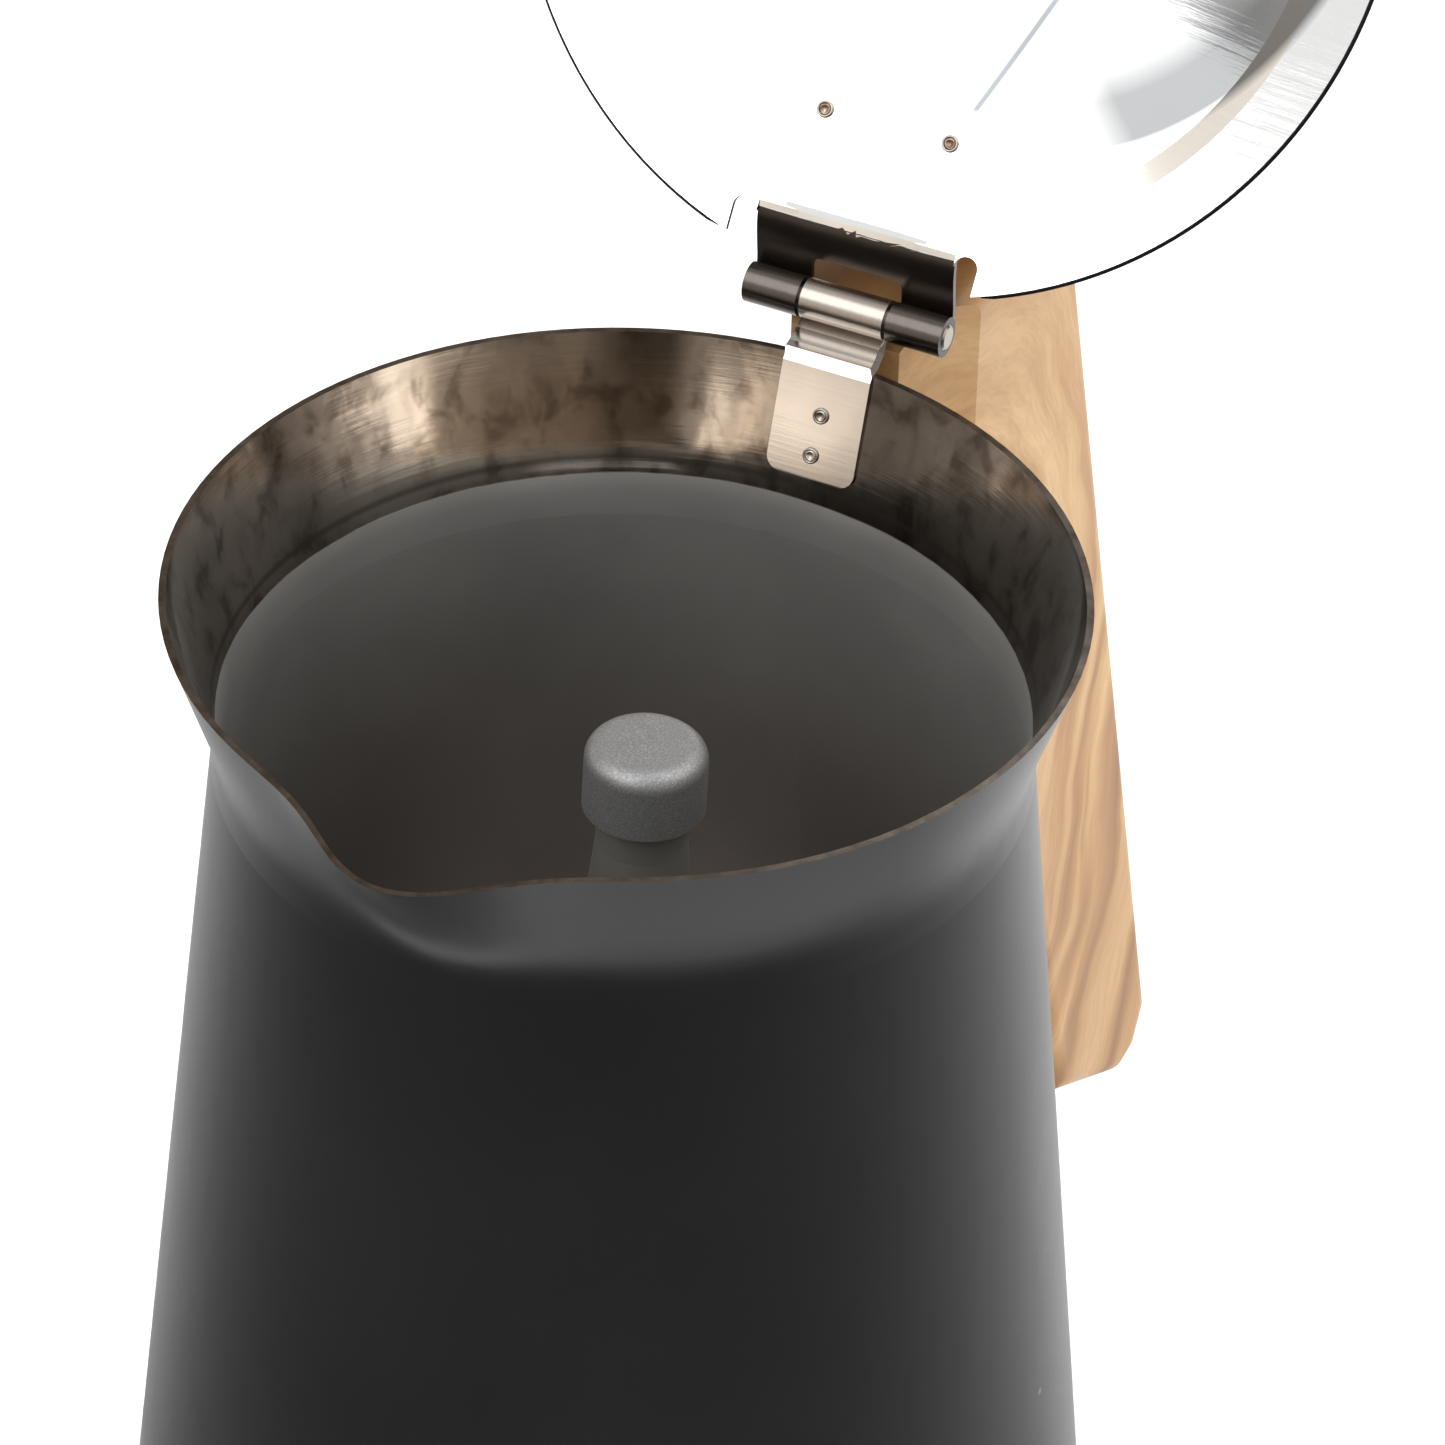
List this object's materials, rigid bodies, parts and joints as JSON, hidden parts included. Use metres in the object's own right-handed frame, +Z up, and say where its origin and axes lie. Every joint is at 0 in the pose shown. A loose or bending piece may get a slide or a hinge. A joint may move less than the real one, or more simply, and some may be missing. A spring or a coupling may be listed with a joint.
{
  "type": "moka pot",
  "caption": "Stove-top coffee maker with a tapered black body, pulled pouring lip, hinged polished lid and an angular wooden side handle.",
  "frame": {"origin": "centre of the base's underside, on the pot's axis", "axes": "+Z up along the pot's axis, spout towards -X, handle and lid hinge towards +X, hinge pin along Y"},
  "size_m": [0.1754, 0.1126, 0.2839],
  "materials": {
    "black_coating": "matte black coating, bare steel inside",
    "lid_steel": "polished inside, matte black coating outside",
    "brushed_steel": "satin",
    "polished_steel": "polished",
    "cast_steel": "bead blasted",
    "oak": "satin oak",
    "brass": "turned",
    "silicone": "matte"
  },
  "bodies": {
    "boiler": {"boiler_base_plate": "brushed_steel", "boiler_shell": "black_coating", "boiler_neck_ring": "brushed_steel", "safety_valve_body": "brass", "safety_valve_seal": "silicone", "safety_valve_nut": "brass", "safety_valve_spring": "brushed_steel"},
    "valve_plunger": {"safety_valve_plunger": "brushed_steel"},
    "funnel": {"funnel_basket": "brushed_steel", "funnel_stem": "brushed_steel", "funnel_filter_disc": "brushed_steel"},
    "seal": {"sealing_gasket": "silicone", "upper_filter_plate": "brushed_steel"},
    "collector": {"collector_shell": "black_coating", "collector_floor": "brushed_steel", "collector_collar": "brushed_steel", "chimney_column": "brushed_steel", "chimney_cap": "cast_steel", "hinge_bracket": "polished_steel", "hinge_bracket_welds": "polished_steel", "hinge_pin": "polished_steel", "handle_bracket": "black_coating", "handle_grip": "oak", "handle_nut": "brushed_steel", "handle_screw": "brushed_steel"},
    "lid": {"lid": "lid_steel", "lid_welds": "polished_steel", "lid_knob_bracket": "brushed_steel", "lid_knob": "oak", "lid_knob_pin": "brushed_steel"}
  },
  "joints": [
    {"name": "collector_lift", "type": "slide", "parent": "boiler", "child": "seal", "axis": [0, 0, 1], "range_m": [0, 0.17]},
    {"name": "collector_turn", "type": "hinge", "parent": "seal", "child": "collector", "pos_m": [0, 0, 0.0949], "axis": [0, 0, 1], "range_deg": [0, 450]},
    {"name": "funnel_lift", "type": "slide", "parent": "boiler", "child": "funnel", "axis": [0, 0, 1], "range_m": [0, 0.085]},
    {"name": "lid_swing", "type": "hinge", "parent": "collector", "child": "lid", "pos_m": [0.0493, 0, 0.19927], "axis": [0, 1, 0], "range_deg": [-119.7, 0]},
    {"name": "valve_plunger_slide", "type": "slide", "parent": "boiler", "child": "valve_plunger", "axis": [0, -1, 0], "range_m": [0, 0.0012], "stiffness_N_per_m": 1500, "springref_m": -0.004, "deforming": ["safety_valve_spring"]}
  ],
  "couplings": [
    {"joint": "funnel_lift", "follows": "collector_lift", "ratio": 0.5}
  ]
}
